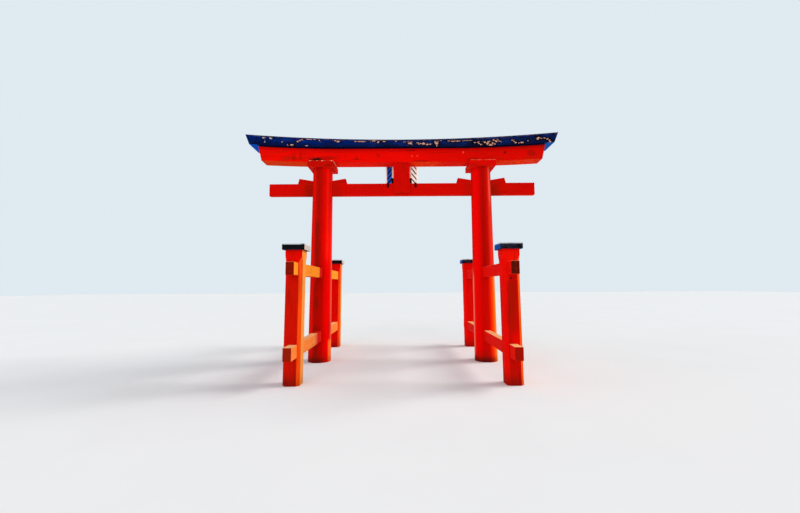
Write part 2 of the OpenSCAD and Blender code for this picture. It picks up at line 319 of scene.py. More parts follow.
RIGHT_LOW = [
    (-1.0, (1.0, 0.21, 0.13)), (-0.95, (0.86, 0.012, 0.005)), (-0.88, (0.86, 0.0015, 0.0006)),
    (-0.62, (0.78, 0.0015, 0.0006)), (-0.45, (0.67, 0.0015, 0.0003)), (-0.28, (0.62, 0.002, 0.0003)),
    (0.13, (0.66, 0.0035, 0.0004)), (0.24, (0.84, 0.006, 0.0005)), (0.35, (0.95, 0.014, 0.0006)),
    (0.58, (0.94, 0.058, 0.0018)), (0.71, (0.88, 0.130, 0.008)), (0.86, (0.80, 0.210, 0.030)),
    (1.0, (0.76, 0.260, 0.060))]
RIGHT_HIGH = [
    (-1.0, (0.66, 0.005, 0.002)), (-0.86, (0.88, 0.0012, 0.0006)), (-0.62, (0.82, 0.0012, 0.0004)),
    (-0.46, (0.71, 0.0014, 0.0004)), (-0.28, (0.54, 0.0016, 0.0003)), (-0.10, (0.43, 0.002, 0.0004)),
    (0.12, (0.49, 0.0025, 0.0004)), (0.36, (0.62, 0.004, 0.0008)), (0.56, (0.78, 0.018, 0.006)),
    (0.66, (0.72, 0.020, 0.009)), (0.82, (0.66, 0.026, 0.016)), (1.0, (0.58, 0.034, 0.022))]
# colours of the flat timbers, their sides in painted light and shade, the orange +x sides painted sunlight
TIE = faces((0.56, 0.003, 0.001), (0.662, 0.0024, 0.0005), (0.66, 0.010, 0.002))
WEDGE = faces((0.50, 0.003, 0.001), (0.62, 0.0024, 0.0006), (0.66, 0.010, 0.002))
LINTEL = faces((0.74, 0.003, 0.001), (0.895, 0.0024, 0.0005), (0.80, 0.018, 0.003))
STRUT = faces((0.60, 0.003, 0.001), (0.64, 0.0024, 0.0006), (0.76, 0.036, 0.005))
CAPITAL_LEFT = faces((0.64, 0.003, 0.001), (0.56, 0.0034, 0.0010), (0.76, 0.010, 0.002))
CAPITAL_RIGHT = faces((0.72, 0.003, 0.001), (0.70, 0.0024, 0.0006), (0.76, 0.010, 0.002))
POST_LEFT = faces((0.62, 0.005, 0.001), (0.62, 0.0060, 0.0010), (0.76, 0.270, 0.052), (0.84, 0.070, 0.004))
HEAD_LEFT = faces((0.66, 0.004, 0.001), (0.82, 0.0028, 0.0006), (0.84, 0.260, 0.040), (0.90, 0.085, 0.007))
POST_RIGHT = faces((0.77, 0.0025, 0.001), (0.60, 0.0030, 0.0005), (0.74, 0.240, 0.036), (0.80, 0.090, 0.006))
HEAD_RIGHT = faces((0.84, 0.0025, 0.001), (0.90, 0.0050, 0.0006), (0.74, 0.240, 0.036), (0.84, 0.060, 0.006))
BACK_LEFT = faces((0.62, 0.005, 0.001), (0.82, 0.0024, 0.0006), (0.80, 0.250, 0.046), (0.84, 0.055, 0.006))
BACK_RIGHT = faces((0.84, 0.0030, 0.001), (0.82, 0.0026, 0.0014), (0.74, 0.240, 0.036), (0.80, 0.090, 0.006))
BRACE_UP = faces((0.80, 0.0030, 0.001), (0.62, 0.004, 0.001), (0.86, 0.260, 0.018))
BRACE_LOW = faces((0.78, 0.008, 0.003), (0.62, 0.004, 0.001), (0.83, 0.212, 0.038))


# ---------------------------------------------------------------- vermilion timber
def along(axis, lengthwise, across):
    """Feature size of a grain that runs along one axis."""
    return tuple(lengthwise if a == axis else across for a in "xyz")


def end_grain(g, axis, mid, ends, c, height):
    """Growth rings on the cut ends of a beam, over its colour and its relief."""
    facing = g.nx if axis == "x" else g.ny
    cut = g.step(g.size(facing), 0.80, 0.95)
    if axis == "y":
        aside = g.mul(g.sub(g.size(g.x), HEART_X), 1.2)
        r = g.vec("LENGTH", g.join(aside, g.noise((0.5, 0.5, 0.5), 2), g.z))
    else:
        r = g.vec("LENGTH", g.join(g.y, 0.0, g.sub(g.z, TIE_HEART_Z)))
    ring = g.math("SINE", g.mul(g.add(r, g.mul(mid, 0.05)), RING_RATE))
    dark = tuple(a * b for a, b in zip(ends, (0.45, 0.8, 0.8)))
    worn = g.mix(g.step(ring, -0.6, 0.9, 0.0, 0.45), ends, dark)
    patch = g.step(g.noise((0.10, 0.10, 0.14), 3), 0.42, 0.70, 0.0, 0.35)
    c = g.mix(cut, c, g.mix(patch, worn, END_RED))
    return c, g.add(height, g.mul(ring, cut, 0.25))


def timber(name, axis, seed, sides, top=SUNLIT_TOP, under=UNDER_RED_REFLECTED, vary=0.30, dirt=0.4, ends=None,
           foot=0.0, high=None, blend=(4.6, 5.4), extra=None):
    """Weathered vermilion paint on timber whose grain runs along axis.

    sides and high are colours by the way a surface faces, high those above the heights in blend; they carry
    painted light and shade, with lit and shaded sides and painted highlights. top and under are the colours
    of level faces, top in painted sunlight and under brightened as painted reflected light from below, and
    ends that of cut ends. vary, dirt and foot say how strong the wear, the dirt and the water marks are.
    extra adds marks of this timber's own.
    """
    g = Net(name, seed)
    big = g.noise(along(axis, 1.6, 0.7), 3, 0.6)
    mid = g.noise(along(axis, 0.7, 0.16), 4, 0.6, 0.4)
    streak = g.noise(along(axis, 2.2, 0.045), 3, 0.6)
    fine = g.noise(along(axis, 0.5, 0.011), 3, 0.65)
    drip = g.noise((0.11, 0.11, 1.5), 3, 0.6)
    crack = g.noise(along(axis, 1.9, 0.030), 2, 0.5, 0.3)
    # colour by facing: painted light and shade round the timber
    c = g.ramp(g.nx, sides)
    if high:
        c = g.mix(g.step(g.add(g.z, g.swing(drip, 1.8)), *blend), c, g.ramp(g.nx, high))
    # painted sunlight on the tops, painted reflected light on the undersides
    c = g.mix(g.step(g.nz, 0.35, 0.75), c, top)
    c = g.mix(g.step(g.nz, -0.5, -0.9), c, under)
    # cloudy and streaky wear of the paint
    tone = g.add(g.mul(g.add(big, mid), 0.35), g.mul(streak, 0.30))
    dark = g.tint(c, (0.50, 0.85, 0.9))
    light = g.tint(c, (1.16, 1.0, 1.0))
    c = g.mix(g.mul(g.step(tone, 0.50, 0.34), min(1.0, vary * 2.2)), c, dark)
    c = g.mix(g.mul(g.step(tone, 0.50, 0.66), vary * 1.6), c, light)
    # dirt that has run down, cracks along the grain and small chips
    upright = g.sub(1.0, g.size(g.nz))
    c = g.mix(g.mul(g.step(drip, 0.55, 0.80), upright, dirt), c, BROWN)
    split = g.mul(g.step(crack, 0.655, 0.70), g.step(big, 0.40, 0.60))
    c = g.mix(g.mul(split, 0.7), c, CRACK)
    chip = g.step(g.noise((0.05, 0.05, 0.05), 4, 0.7), 0.745, 0.775)
    c = g.mix(g.mul(chip, 0.45), c, CORAL)
    rough = g.step(mid, 0.3, 0.7, 0.50, 0.72)
    height = g.add(g.mul(fine, 0.35), g.add(g.mul(streak, 0.5), g.mul(mid, 0.5)))
    height = g.sub(height, g.add(g.mul(split, 1.2), g.mul(chip, 0.3)))
    if ends:
        c, height = end_grain(g, axis, mid, ends, c, height)
    if extra:
        c = extra(g, c)
    if foot:
        # water marks, weaker on the sunny side
        tide = g.add(g.z, g.swing(g.noise((0.35, 0.35, 0.35), 3, 0.6), 0.22))
        damp = g.step(g.nx, 0.1, 0.9, 1.0, 0.4)
        c = g.mix(g.mul(g.step(tide, 0.75, 0.10, 0.0, 0.45), damp), c, TIDE)
        wet = g.mul(g.step(tide, 0.36, 0.06), damp)
        c = g.mix(g.mul(wet, foot), c, SOOT)
        rough = g.sub(rough, g.mul(wet, 0.22))
    return g.done(c, rough, height)


def spot(g, x, z, rx, rz, wobble):
    """1 in the middle of an uneven patch round x, z in the plane of the gate, 0 outside."""
    q = g.join(g.mul(g.sub(g.x, x), 1.0 / rx), 0.0, g.mul(g.sub(g.z, z), 1.0 / rz))
    return g.step(g.add(g.vec("LENGTH", q), wobble), 1.25, 0.75)


# patches on the lower lintel's land side: x, z, half length, half height and, for stains, strength
STAINS = (
    (-5.52, 10.28, 0.10, 0.22, 0.26), (-5.16, 10.40, 0.07, 0.27, 0.30), (-4.99, 10.43, 0.08, 0.17, 0.18),
    (-4.66, 10.27, 0.24, 0.10, 0.16), (-5.35, 10.19, 0.34, 0.05, 0.25), (-4.34, 10.165, 0.27, 0.080, 1.0),
    (-3.9, 10.22, 0.5, 0.12, 0.35), (0.45, 10.60, 0.28, 0.05, 0.5), (5.27, 10.47, 0.08, 0.08, 0.7),
    (6.6, 10.42, 0.22, 0.16, 0.35), (1.0, 10.05, 0.35, 0.04, 0.4), (-2.3, 10.20, 0.10, 0.08, 0.35),
    (-1.2, 10.35, 0.10, 0.10, 0.3), (3.6, 10.12, 0.30, 0.05, 0.4))
PALE_SPOTS = ((3.15, 10.48, 0.03, 0.06), (0.54, 10.30, 0.03, 0.05), (0.80, 10.31, 0.03, 0.03))
# stretches of the lower lintel that are a little brighter or duller: from x, to x, red
STRETCHES = ((-3.2, -4.2, 1.04), (0.3, 1.5, 0.88), (3.2, 4.4, 0.94))


def lower_marks(g, c):
    """Stains, pale spots and seams on the lower lintel, and flaking along its underside."""
    wobble = g.swing(g.noise((0.22, 0.22, 0.16), 4, 0.6), 2.2)
    front = g.step(g.y, -0.2, -0.3)
    off = g.size(g.x)
    for start, end, red in STRETCHES:
        c = g.mix(g.step(g.x, start, end), c, g.tint(c, (red, 1.0, 1.0)))
    # the stretches over the pillars are darker than the middle, which ends at a seam on either side
    darkening = g.step(g.noise((0.55, 0.55, 0.16), 4, 0.62), 0.50, 0.66, 0.0, 0.62)
    c = g.mix(g.mul(g.step(off, SEAM_X - 0.03, SEAM_X + 0.03), darkening), c, DARKER_RED)
    c = g.mix(g.mul(g.near(off, SEAM_X, 0.010, 0.012), 0.35), c, BROWN)
    for x, z, rx, rz, dark in STAINS:
        c = g.mix(g.mul(spot(g, x, z, rx, rz, wobble), front, dark), c, LINTEL_STAIN)
    for x, z, rx, rz in PALE_SPOTS:
        c = g.mix(g.mul(spot(g, x, z, rx, rz, wobble), front, 0.7), c, PALE_CHIP)
    # flaking along the underside, mostly of the overhangs
    flecks = g.step(g.noise((0.26, 0.07, 0.5), 4, 0.68), 0.47, 0.56)
    below = g.step(g.nz, -0.5, -0.9)
    bare = g.most(g.step(off, 4.4, 5.0, 0.0, 0.8), g.mul(g.near(g.x, 1.25, 0.5, 0.5), 0.75))
    c = g.mix(g.mul(flecks, below, bare), c, g.mix(g.step(g.x, 1.0, 4.5), FLAKED_LEFT, FLAKED_RIGHT))
    # painted reflected light from below: the underside's left part more orange
    return g.mix(g.mul(below, g.step(g.x, -2.0, -6.5), 0.8), c, UNDER_LEFT)


def capital_marks(low, high, strength, chalk, sun_highlight):
    """Worn paint along the top edge of a capital in front, and a painted highlight along it towards the sun.
    """
    def marks(g, c):
        side = g.step(g.nx, 0.45, 0.62)
        edge = g.mul(g.near(g.z, BEVEL_Z, 0.010, 0.022), g.sub(1.0, side))
        dots = g.noise((0.15, 0.15, 0.10), 4, 0.62)
        c = g.mix(g.mul(edge, g.step(dots, low, high), strength), c, chalk)
        brow = g.mul(side, g.step(g.z, BROW_Z - 0.025, BROW_Z), g.step(g.y, 0.2, 0.0))
        return g.mix(g.mul(brow, g.step(dots, 0.34, 0.50, 0.35, 1.0)), c, sun_highlight)
    return marks


def tie_marks(g, c):
    """Darker paint beside the pillars, mostly on their outer side: dirt and painted shade."""
    off = g.size(g.x)
    outward = g.add(g.step(off, 5.15, 4.75, 0.0, 0.75), g.step(off, 5.90, 5.00, 0.0, 0.25))
    outer = g.mul(g.step(off, 4.0, 4.1), outward)
    inner = g.mul(g.step(off, 4.1, 4.0), g.step(off, 2.95, 3.35, 0.0, 0.45))
    cloudy = g.step(g.noise((0.5, 0.3, 0.3), 3), 0.30, 0.55, 0.60, 1.0)
    low = g.step(g.z, TIE_TOP_Z + 0.165, TIE_TOP_Z - 0.175, 0.20, 1.0)
    beside = g.mul(g.add(outer, inner), cloudy, low)
    return g.mix(g.mul(beside, g.step(g.nz, 0.6, 0.4)), c, TIE_DIRT_AND_SHADE)


def right_pillar_marks(g, c):
    """A painted highlight, a paler strip down the head, on the sunny side."""
    strip = g.mul(g.near(g.nx, 0.67, 0.05, 0.11), g.step(g.z, 7.4, 8.2))
    return g.mix(strip, c, HEAD_HIGHLIGHT)


def left_pillar_marks(g, c):
    """A dark band down the front, partly stains and partly painted shade, and painted sunlight in orange low
    down on the sunny side.
    """
    stain = g.noise((0.30, 0.30, 0.9), 3, 0.6)
    band = g.mul(g.near(g.nx, -0.26, 0.12, 0.22), g.step(g.z, 8.9, 6.0, 0.35, 1.0))
    c = g.mix(g.mul(band, g.step(stain, 0.40, 0.60), 0.55), c, BAND_STAIN_AND_SHADE)
    limb = g.mul(g.step(g.nx, 0.80, 0.90), g.step(g.z, 1.15, 0.95))
    return g.mix(g.mul(limb, 0.9), c, LIMB_SUNLIGHT)


KNOT_X, KNOT_Z = 4.10, 3.97


def post_knot(g, c):
    """A knot on the front right post, the stain below it, and brighter paint above the lower brace."""
    far = g.vec("LENGTH", g.join(g.sub(g.x, KNOT_X), 0.0, g.sub(g.z, KNOT_Z)))
    front = g.step(g.ny, -0.6, -0.9)
    c = g.mix(g.mul(g.step(far, 0.045, 0.028), g.step(g.y, -4.5, -4.6)), c, SOOT)
    wavy_x = g.add(g.x, g.mul(g.noise((0.3, 0.3, 0.5), 2), 0.10))
    fading = g.mul(g.step(g.z, 4.05, 3.7), g.step(g.z, 1.4, 3.0, 0.20, 1.0))
    run = g.mul(g.near(wavy_x, KNOT_X + 0.05, 0.080, 0.11), fading)
    c = g.mix(g.mul(run, front, 0.42), c, KNOT_RUN)
    brightened = g.mul(g.near(g.z, 1.68, 0.10, 0.35), front, g.step(g.x, 4.02, 4.16))
    return g.mix(brightened, c, g.tint(c, (1.28, 0.8, 0.8)))


def shaded_root(g, c):
    """Painted shadow on a brace's left side, where it comes out of the front post."""
    root = g.mul(g.near(g.y, POST_FACE_Y, 0.07, 0.05), g.step(g.nx, -0.5, -0.9))
    return g.mix(g.mul(root, 0.8), c, ROOT_SHADE)


def pillar_shadow_on_brace(reach, pink):
    """Painted shadow, red, on the sunny side and the top of a brace, over a reach before the pillar.

    On the sunny side a paler stretch of painted half shadow, pink long, comes before it.
    """
    def stretch(g, length):
        return g.near(g.y, PILLAR_FACE_Y - length / 2, length / 2, 0.03)

    def marks(g, c):
        sunny = g.step(g.nx, 0.5, 0.9)
        c = g.mix(g.mul(sunny, stretch(g, reach + pink), 0.9), c, HALF_SHADOW_PINK)
        open_sides = g.most(sunny, g.step(g.nz, 0.6, 0.9))
        return g.mix(g.mul(open_sides, stretch(g, reach)), c, PILLAR_SHADOW_RED)
    return marks


# ---------------------------------------------------------------- dark blue paint
# flakes on the lintel's land side: place along X, place below the top edge, half length, half height
PEEL = (
    (-7.00, -0.095, 0.050, 0.035), (-6.92, -0.308, 0.028, 0.025), (-6.62, -0.101, 0.075, 0.035),
    (-6.05, -0.266, 0.026, 0.022), (-5.57, -0.391, 0.080, 0.036), (-5.26, -0.198, 0.045, 0.030),
    (-5.16, -0.136, 0.050, 0.025), (-5.06, -0.090, 0.055, 0.016), (-4.81, -0.402, 0.055, 0.014),
    (-4.71, -0.064, 0.160, 0.014), (-4.40, -0.057, 0.070, 0.014), (-4.16, -0.104, 0.032, 0.028),
    (-3.35, -0.089, 0.050, 0.026), (-3.21, -0.116, 0.095, 0.036), (-2.33, -0.102, 0.080, 0.016),
    (-2.05, -0.098, 0.200, 0.022), (-1.40, -0.064, 0.100, 0.020), (-1.17, -0.120, 0.055, 0.042),
    (-0.89, -0.088, 0.090, 0.018), (-0.28, -0.073, 0.050, 0.015), (0.18, -0.118, 0.035, 0.018),
    (0.43, -0.183, 0.090, 0.045), (0.81, -0.167, 0.060, 0.018), (0.96, -0.206, 0.060, 0.020),
    (1.11, -0.204, 0.070, 0.045), (1.29, -0.269, 0.060, 0.024), (1.45, -0.252, 0.045, 0.028),
    (1.67, -0.132, 0.050, 0.022), (1.77, -0.208, 0.085, 0.055), (1.78, -0.338, 0.026, 0.045),
    (1.98, -0.078, 0.040, 0.016), (2.39, -0.111, 0.070, 0.018), (2.61, -0.134, 0.100, 0.022),
    (2.81, -0.126, 0.060, 0.026), (3.28, -0.123, 0.280, 0.010), (3.69, -0.240, 0.050, 0.024),
    (3.85, -0.237, 0.050, 0.020), (3.92, -0.298, 0.038, 0.030), (4.01, -0.359, 0.040, 0.030),
    (4.21, -0.255, 0.055, 0.034), (4.34, -0.309, 0.055, 0.045), (4.41, -0.219, 0.065, 0.026),
    (4.49, -0.405, 0.085, 0.040), (4.59, -0.307, 0.045, 0.050), (4.65, -0.169, 0.055, 0.022),
    (4.71, -0.360, 0.040, 0.030), (4.78, -0.229, 0.050, 0.042), (4.85, -0.134, 0.045, 0.016),
    (4.98, -0.251, 0.028, 0.018), (5.61, -0.223, 0.050, 0.018), (5.69, -0.301, 0.050, 0.024),
    (5.77, -0.369, 0.042, 0.026), (5.93, -0.391, 0.045, 0.016), (6.08, -0.375, 0.070, 0.032),
    (6.38, -0.319, 0.030, 0.028), (6.90, -0.203, 0.060, 0.048), (7.06, -0.237, 0.070, 0.018),
    (7.21, -0.233, 0.060, 0.024), (7.36, -0.287, 0.048, 0.026), (7.45, -0.368, 0.042, 0.038),
    (7.49, -0.454, 0.034, 0.034),
)


def blue_wear(g):
    """The noises that both dark blue paints share: clouds, patches and brush marks."""
    big = g.noise((1.1, 1.1, 0.5), 3, 0.6)
    mid = g.noise((0.35, 0.35, 0.14), 4, 0.6, 0.3)
    fine = g.noise((0.5, 0.02, 0.02), 3, 0.6)
    return big, mid, fine, g.add(g.mul(big, 0.6), g.mul(mid, 0.4))


def flaking(g, below):
    """The placed flakes on the land side, their distance with frayed edges, and that side's mask."""
    ragged = g.swing(g.noise((0.20, 0.5, 0.14), 3, 0.6), 2.0)
    flake = g.noise((0.19, 0.5, 0.105), 4, 0.62, 0.9)
    crumb = g.noise((0.085, 0.5, 0.048), 4, 0.70, 0.5)
    face = g.join(g.x, 0.0, below)
    nearest = None
    for x, z, rx, rz in PEEL:
        scaled = g.vec("MULTIPLY_ADD", face, (1.0 / rx, 0.0, 1.0 / rz), (-x / rx, 0.0, -z / rz))
        d = g.vec("LENGTH", scaled)
        nearest = d if nearest is None else g.math("MINIMUM", nearest, d)
    front = g.step(g.y, -0.5, -0.6)
    frayed = g.add(nearest, ragged)
    chewed = g.add(nearest, g.swing(crumb, 3.8))
    stray = g.mul(g.step(frayed, 3.4, 2.0), g.step(flake, 0.620, 0.635))
    patch = g.mul(g.most(g.step(chewed, 1.06, 0.92), stray), front)
    return patch, frayed, front


def lintel_paint(name, seed):
    """Dark blue paint on the upper lintel, flaking down to its salmon undercoat."""
    g = Net(name, seed)
    big, mid, fine, cloud = blue_wear(g)
    c = g.mix(g.step(g.x, -4.5, 1.5), NAVY, NAVY_DULL)
    c = g.mix(g.step(cloud, 0.56, 0.40, 0.0, 0.6), c, BLACK)
    c = g.mix(g.mul(g.step(g.noise((0.9, 0.9, 0.22), 3, 0.6), 0.50, 0.66), 0.7), c, NAVY_FRESH)
    # height below the top edge, which rises to the ends
    rise = g.mul(g.mul(g.x, g.x), -EDGE_RISE / EDGE_HALF ** 2)
    below = g.sub(g.add(g.z, rise), EDGE_Z)
    patch, frayed, front = flaking(g, below)
    # dirt round the flakes, and painted shade along the lower edge
    right_half = g.step(g.x, -1.0, 4.0, 0.15, 1.0)
    halo = g.mul(g.step(frayed, 5.2, 1.6), front)
    c = g.mix(g.mul(halo, right_half, 0.92), c, DIRT_FAR)
    c = g.mix(g.mul(g.step(frayed, 3.0, 1.6), front, 0.7), c, DIRT_NEAR)
    c = g.mix(g.mul(g.step(below, -0.20, -0.36), front, 0.55), c, BLACK)
    # a broken line of bare wood along the upper edge, and flakes on the lake side and the top
    dashes = g.step(g.noise((0.20, 0.5, 0.05), 4, 0.65), 0.50, 0.58)
    rim = g.mul(g.step(below, -0.050, -0.015), dashes)
    specks = g.add(g.noise((0.30, 0.30, 0.13), 5, 0.66, 0.5), g.mul(below, 0.18))
    back = g.mul(g.step(g.y, 0.5, 0.6), g.step(specks, 0.60, 0.62))
    roof = g.step(g.nz, 0.6, 0.9)
    bare = g.mul(g.most(patch, g.most(g.mul(rim, 0.7), back)), g.sub(1.0, roof))
    worn = g.add(g.noise((0.55, 0.12, 0.3), 5, 0.66, 0.5), g.swing(big, 0.6))
    bare = g.most(bare, g.mul(roof, g.step(worn, 0.66, 0.69)))
    # undercoat and wood where the paint is gone
    core = g.noise((0.07, 0.07, 0.05), 4, 0.7)
    tone = g.mix(g.step(core, 0.38, 0.62), SALMON, SAND)
    tone = g.mix(g.mul(g.step(core, 0.45, 0.38), 0.8), tone, SCORCHED)
    tone = g.mix(g.step(g.x, -5.9, -6.4), tone, CHALK)
    c = g.mix(bare, c, g.mix(g.step(rim, 0.2, 0.9), tone, RIM_WOOD))
    # the underside is in painted shade over the lower lintel, and a lighter blue of painted reflected light
    # where it reaches past it
    under = g.step(g.mul(g.nz, -1.0), 0.4, 0.9)
    overhang = g.step(g.size(g.x), 7.2, 7.4)
    soffit_reflection = g.mix(g.step(g.x, -1.0, 1.0), SOFFIT_REFLECTION_LEFT, SOFFIT_REFLECTION_RIGHT)
    c = g.mix(under, c, g.mix(overhang, SOFFIT_SHADE, soffit_reflection))
    # the slanting ends are lighter too, and scuffed
    tip = g.step(g.size(g.nx), 0.6, 0.85)
    end_blue = g.mix(g.step(cloud, 0.40, 0.62), END_BLUE_DARK, END_BLUE_LIGHT)
    c = g.mix(g.mul(tip, 0.85), c, end_blue)
    scuffed = g.mul(tip, g.step(g.noise((0.2, 0.13, 0.09), 5, 0.66), 0.62, 0.65))
    c = g.mix(scuffed, c, tone)
    height = g.sub(g.add(g.mul(fine, 0.3), g.mul(mid, 0.5)), g.mul(bare, 0.35))
    return g.done(c, g.step(mid, 0.3, 0.7, 0.45, 0.68), height, spec=0.003)


def cap_paint(name, seed):
    """Nearly black paint on the post caps, with painted shade lit blue by the sky to the left and painted
    sunlight to the right.
    """
    g = Net(name, seed)
    _, mid, _, cloud = blue_wear(g)
    c = g.mix(g.step(cloud, 0.50, 0.66), CAP_BLACK, CAP_GREY)
    c = g.mix(g.mul(g.step(g.x, 0.0, 1.0), g.step(mid, 0.40, 0.60)), c, CAP_RIGHT)
    c = g.mix(g.step(g.nx, -0.5, -0.9), c, CAP_SKY_SHADE)
    sunny = g.mul(g.step(g.nx, 0.5, 0.9), g.step(mid, 0.28, 0.42, 0.75, 1.0))
    c = g.mix(sunny, c, CAP_SUNLIGHT)
    bare = g.step(g.noise((0.10, 0.10, 0.05), 4, 0.65), 0.70, 0.73)
    c = g.mix(g.mul(bare, 0.5), c, CHALK)
    edge = g.mul(g.step(g.z, CAP_RIM_Z - 0.050, CAP_RIM_Z - 0.022), g.step(g.nz, 0.97, 0.8))
    c = g.mix(g.mul(edge, g.step(mid, 0.36, 0.52, 0.20, 0.95)), c, CAP_RIM)
    c = g.mix(g.mul(g.step(g.nz, -0.4, -0.9), 0.6), c, CAP_UNDER)
    height = g.sub(g.mul(mid, 0.6), g.mul(bare, 0.3))
    return g.done(c, g.step(mid, 0.3, 0.7, 0.45, 0.68), height, spec=0.010)


# ---------------------------------------------------------------- iron and the plaque's paints
def iron(name, seed):
    """Black painted iron with a little rust."""
    g = Net(name, seed)
    a = g.noise((0.05, 0.05, 0.08), 4, 0.6)
    c = g.mix(g.step(a, 0.5, 0.72), IRON_BLACK, IRON_RUST)
    return g.done(c, g.step(a, 0.3, 0.7, 0.45, 0.75), a, 0.003, 0.025)


STRIPE_PITCH = 0.28


def striped(name, seed, ground, stripe, width, edge_y):
    """Painted slanting stripes on the outside of the plaque's boards, cream beyond edge_y."""
    g = Net(name, seed)
    a = g.noise((0.12, 0.12, 0.3), 4, 0.6)
    c = g.mix(g.step(a, 0.35, 0.7), ground, tuple(0.82 * v for v in ground))
    slant = g.add(g.add(g.z, g.y), g.mul(a, 0.06))
    saw = g.math("SINE", g.mul(slant, 2 * math.pi / STRIPE_PITCH))
    c = g.mix(g.mul(g.step(saw, 0.80 - width, 1.05 - width), 0.95), c, stripe)
    c = g.mix(g.step(g.y, edge_y, edge_y + 0.03), c, EDGE_CREAM)
    return g.done(c, g.step(a, 0.3, 0.7, 0.5, 0.7), a, 0.003, 0.04)


def lacquer(name, seed):
    """Plain dark lacquered face of the plaque."""
    g = Net(name, seed)
    a = g.noise((0.06, 0.06, 0.7), 4, 0.6)
    b = g.noise((0.02, 0.02, 0.9), 3, 0.6)
    c = g.mix(g.step(a, 0.35, 0.65), LACQUER_DARK, LACQUER_WORN)
    return g.done(c, g.step(b, 0.3, 0.7, 0.35, 0.55), g.add(a, b), 0.002, 0.35)


def cream(name, seed):
    """Weathered cream paint on small boards and mouldings."""
    g = Net(name, seed)
    a = g.noise((0.10, 0.10, 0.25), 4, 0.6)
    c = g.mix(g.step(a, 0.38, 0.68), CREAM, CREAM_WORN)
    crack = g.step(g.noise((0.03, 0.03, 0.6), 3, 0.6), 0.64, 0.69)
    c = g.mix(g.mul(crack, 0.6), c, CREAM_CRACK)
    return g.done(c, g.step(a, 0.3, 0.7, 0.5, 0.7), g.sub(a, crack), 0.002, 0.1)


# ---------------------------------------------------------------- materials of the CAD nodes
def dress(names, mat):
    for n in names:
        o = nodes[n]
        o.data.materials.clear()
        o.data.materials.append(mat)


def starting(prefix):
    return [n for n in nodes if n.startswith(prefix)]


left_edges = capital_marks(0.545, 0.60, 1.0, (0.98, 0.80, 0.54), (0.95, 0.50, 0.26))
right_edges = capital_marks(0.40, 0.60, 0.62, (0.92, 0.24, 0.13), (0.80, 0.10, 0.03))
# nodes, name, grain, seed, colours and options of each vermilion paint
PAINTS = (
    (["pillar_left"], "pillar_left", "z", 1, LEFT_LOW,
     dict(foot=0.62, high=LEFT_HIGH, vary=0.16, dirt=0.25, extra=left_pillar_marks)),
    (["pillar_right"], "pillar_right", "z", 30, RIGHT_LOW,
     dict(foot=0.74, high=RIGHT_HIGH, blend=(4.05, 4.55), vary=0.14, dirt=0.20, extra=right_pillar_marks)),
    (["capital_left"], "capital_left", "x", 60, CAPITAL_LEFT,
     dict(top=(0.74, 0.018, 0.005), under=CAPITAL_UNDER_REFLECTED, vary=0.38, extra=left_edges)),
    (["capital_right"], "capital_right", "x", 90, CAPITAL_RIGHT,
     dict(top=(0.76, 0.020, 0.006), under=CAPITAL_UNDER_REFLECTED, vary=0.20, extra=right_edges)),
    # the lower lintel's underside brightened further as painted reflected light from below
    (["lower_lintel"], "lower_lintel", "x", 120, LINTEL,
     dict(under=(1.0, 0.009, 0.0015), vary=0.18, dirt=0.15, extra=lower_marks)),
    (["tie_beam"], "tie_beam", "x", 150, TIE, dict(ends=END_RED, vary=0.20, dirt=0.2, extra=tie_marks)),
    (starting("wedge_"), "wedge", "x", 180, WEDGE, dict(vary=0.2, dirt=0.3, extra=tie_marks)),
    (["centre_strut", "plaque_cleats", "plaque_panel"], "strut", "z", 210, STRUT, dict(vary=0.2)),
    (["post_front_left"], "post_left", "z", 240, POST_LEFT,
     dict(foot=0.35, high=HEAD_LEFT, blend=(3.9, 4.7), vary=0.26, dirt=0.45)),
    (["post_front_right"], "post_right", "z", 270, POST_RIGHT,
     dict(foot=0.35, high=HEAD_RIGHT, blend=(3.8, 4.3), vary=0.24, dirt=0.35, extra=post_knot)),
    (["post_back_left"], "post_back_left", "z", 540, BACK_LEFT, dict(foot=0.35, vary=0.24, dirt=0.4)),
    (["post_back_right"], "post_back_right", "z", 570, BACK_RIGHT, dict(foot=0.35, vary=0.24, dirt=0.4)),
    (["brace_upper_left"], "brace_upper_left", "y", 300, BRACE_UP,
     dict(ends=(0.24, 0.007, 0.002), vary=0.2, extra=pillar_shadow_on_brace(0.55, 0.0))),
    (["brace_lower_left"], "brace_lower_left", "y", 315, BRACE_LOW,
     dict(ends=(0.34, 0.012, 0.003), vary=0.25, extra=pillar_shadow_on_brace(0.82, 0.36))),
    (["brace_upper_right"], "brace_upper_right", "y", 330, BRACE_UP,
     dict(ends=(0.09, 0.007, 0.0025), vary=0.2)),
    (["brace_lower_right"], "brace_lower_right", "y", 360, BRACE_LOW,
     dict(ends=(0.40, 0.006, 0.0015), vary=0.25, extra=shaded_root)),
)
for names, paint, grain, seed, sides, options in PAINTS:
    dress(names, timber(paint + "_paint", grain, seed, sides, **options))

lintel_navy = lintel_paint("upper_lintel_paint", 400)
dark_iron = iron("strap_iron", 460)
pale = cream("plaque_cream", 490)
# the left side board's blue ground is painted shade
shaded_stripes = striped("plaque_left_stripes_shaded", 470, STRIPE_SHADE_BLUE, STRIPE_BLACK, 1.00, 0.69)
pale_stripes = striped("plaque_right_stripes", 480, STRIPE_WHITE, STRIPE_BROWN, 0.54, 0.70)
dress(["upper_lintel"], lintel_navy)
dress(starting("cap_"), cap_paint("cap_paint", 430))
dress(["strut_shoes", "plaque_strap_left", "plaque_strap_right"], dark_iron)
dress(["plaque_frame_left"], shaded_stripes)
dress(["plaque_frame_right"], pale_stripes)
dress(["plaque_frame_top", "plaque_frame_bottom"], pale)


# ---------------------------------------------------------------- softened arrises
FINE_ARRIS, TIMBER_ARRIS, WELD_GAP = 0.004, 0.014, 0.0002


